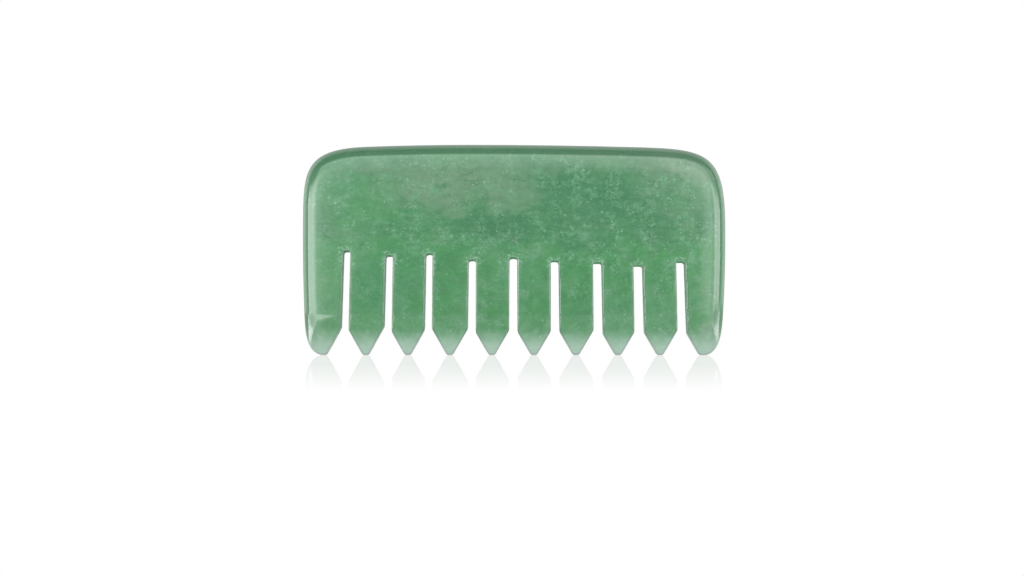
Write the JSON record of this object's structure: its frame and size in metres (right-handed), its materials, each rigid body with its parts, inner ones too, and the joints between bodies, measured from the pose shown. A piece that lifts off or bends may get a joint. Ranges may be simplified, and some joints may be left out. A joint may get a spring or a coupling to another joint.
{
  "type": "comb",
  "caption": "Wide-tooth pocket comb carved from one polished slab of green stone, with saw-cut slots between tapered teeth.",
  "frame": {"origin": "on the surface that the tooth tips stand on, in the middle of the width and the thickness", "axes": "+X along the row of teeth, +Y through the slab towards its back face, +Z from the tooth tips to the spine"},
  "size_m": [0.085, 0.006, 0.0423],
  "materials": {
    "polished_stone": "polished"
  },
  "bodies": {
    "root": {"comb": "polished_stone"}
  },
  "joints": []
}
